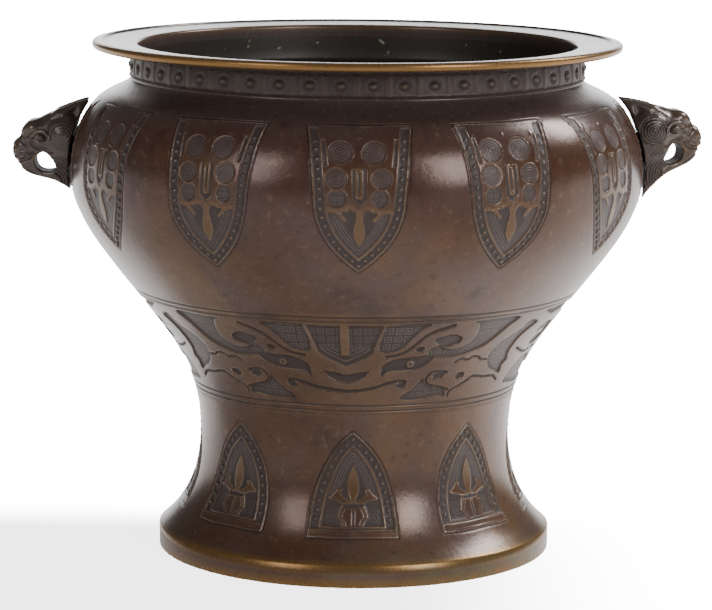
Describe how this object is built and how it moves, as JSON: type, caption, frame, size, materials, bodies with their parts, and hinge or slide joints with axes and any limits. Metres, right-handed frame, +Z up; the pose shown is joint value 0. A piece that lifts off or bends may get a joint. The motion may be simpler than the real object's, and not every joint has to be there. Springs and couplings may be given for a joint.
{
  "type": "bronze vase",
  "caption": "Wide-mouthed bronze vase with a flat lip, carved belts and panels, a spread foot and two beast-head handles; holds a plant or stands alone.",
  "frame": {"origin": "centre of the resting face under the foot, on the axis of the vase", "axes": "+Z up along the axis of the vase, X through the two handles, -Y towards the viewer"},
  "size_m": [0.3536, 0.2932, 0.2622],
  "materials": {
    "body_bronze": "dark brown patina, satin",
    "handle_bronze": "dark brown patina, satin"
  },
  "bodies": {
    "root": {"vase_body": "body_bronze", "head_handle_left": "handle_bronze", "head_handle_right": "handle_bronze"}
  },
  "joints": []
}
